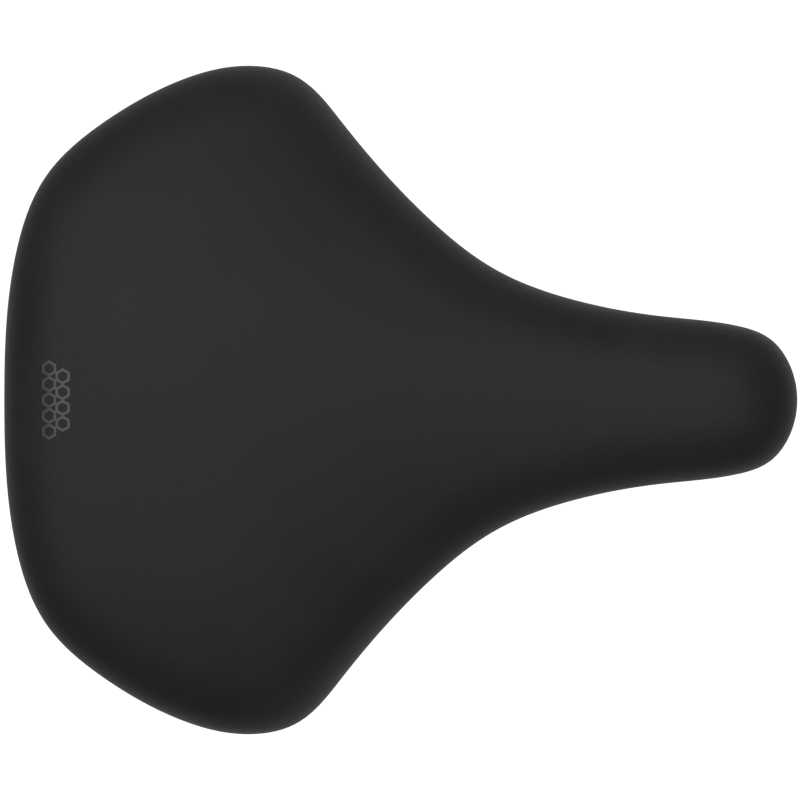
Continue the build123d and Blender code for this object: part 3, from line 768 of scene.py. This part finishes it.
def make_clamp_stud():
    """M8 stud, threaded at both ends."""
    low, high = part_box("clamp_bolt")
    middle, length = (low + high) / 2, high.y - low.y
    bm = bmesh.new()
    threads = [(0, STUD_THREAD), (length - STUD_THREAD, length)]
    threaded_rod(bm, (high.x - low.x) / 2, length, STUD_PITCH, threads)
    bmesh.ops.rotate(bm, cent=(0, 0, 0), matrix=Matrix.Rotation(-math.pi / 2, 3, "X"), verts=bm.verts)
    bmesh.ops.translate(bm, vec=(middle.x, low.y, middle.z), verts=bm.verts)
    stud = new_piece("clamp_stud", bm, FASTENER)
    sharp_edges(stud, 35)
    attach(stud, "rail_cradle")
    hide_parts("clamp_bolt")


make_clamp_stud()


# ---- printed honeycomb on the tail ----


def make_tail_print():
    """A small cluster of printed hexagon outlines."""
    radius = HEX_WIDTH / math.sqrt(3)
    bm = bmesh.new()
    for row, count in ((-0.5, 5), (0.5, 4)):
        for i in range(count):
            x = TAIL_X + PRINT_FROM_TAIL + row * HEX_PITCH * math.sqrt(3) / 2
            y = (i - (count - 1) / 2) * HEX_PITCH
            place = Matrix.Translation((x, y, 0))
            bmesh.ops.create_circle(bm, segments=6, radius=radius, cap_ends=True, matrix=place)
    hexagons = bm.faces[:]
    bmesh.ops.inset_individual(bm, faces=hexagons, thickness=HEX_STROKE)
    bmesh.ops.delete(bm, geom=hexagons, context="FACES")
    bmesh.ops.subdivide_edges(bm, edges=bm.edges[:], cuts=3, use_grid_fill=True)
    for vert in bm.verts:
        vert.co.z = cover_top(vert.co.x, vert.co.y) + PRINT_RISE
    bmesh.ops.solidify(bm, geom=bm.faces[:], thickness=-PRINT_RISE)
    to_metres(bm)
    bmesh.ops.recalc_face_normals(bm, faces=bm.faces)
    mark = new_piece("tail_print", bm, INK, smooth_faces=False)
    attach(mark, "seat")


make_tail_print()


# ---- camera, light and floor ----


def aim(thing, target):
    thing.rotation_euler = (Vector(target) - thing.location).to_track_quat("-Z", "Y").to_euler()


def add_softbox(name, place, target, width, depth, power):
    light = bpy.data.lights.new(name, "AREA")
    light.shape = "RECTANGLE"
    light.size, light.size_y = width, depth
    light.energy = power
    box = bpy.data.objects.new(name, light)
    box.location = place
    aim(box, target)
    bpy.context.scene.collection.objects.link(box)


def make_studio():
    low, high = (Vector(corner) for corner in cad_box)
    middle = (low + high) / 2
    floor_bm = bmesh.new()
    bmesh.ops.create_grid(floor_bm, x_segments=1, y_segments=1, size=FLOOR_HALF)
    bmesh.ops.translate(floor_bm, vec=(0, 0, FLOOR_Z), verts=floor_bm.verts)
    material, tree, _ = start_material("studio_floor")
    end_material(tree, Base_Color=colour("#f4f4f4"), Roughness=0.9, Specular_IOR_Level=0.2,
                 Emission_Color=(1, 1, 1, 1), Emission_Strength=FLOOR_GLOW)
    floor = new_piece("studio_floor", floor_bm, material)

    world = bpy.data.worlds.new("studio")
    bpy.context.scene.world = world
    world.use_nodes = True
    seen = add(world.node_tree, "LightPath").outputs["Is Camera Ray"]
    shade = add(world.node_tree, "MapRange", links={"Value": seen, "To Min": SKY, "To Max": BACKDROP})
    background = world.node_tree.nodes["Background"]
    background.inputs[0].default_value = (1, 1, 1, 1)
    world.node_tree.links.new(shade.outputs[0], background.inputs[1])
    add_softbox("overhead_softbox", SOFTBOX_PLACE, middle, SOFTBOX_WIDTH, SOFTBOX_DEPTH, OVERHEAD)

    camera_data = bpy.data.cameras.new("camera")
    camera_data.sensor_width = 36
    camera_data.lens = 36 * CAMERA_RISE / VIEW_WIDTH
    camera = bpy.data.objects.new("camera", camera_data)
    camera.location = (middle.x + CAMERA_SHIFT, 0, WIDEST_Z + CAMERA_RISE)
    bpy.context.scene.collection.objects.link(camera)
    bpy.context.scene.camera = camera
    bpy.context.scene.view_settings.view_transform = "Standard"


make_studio()
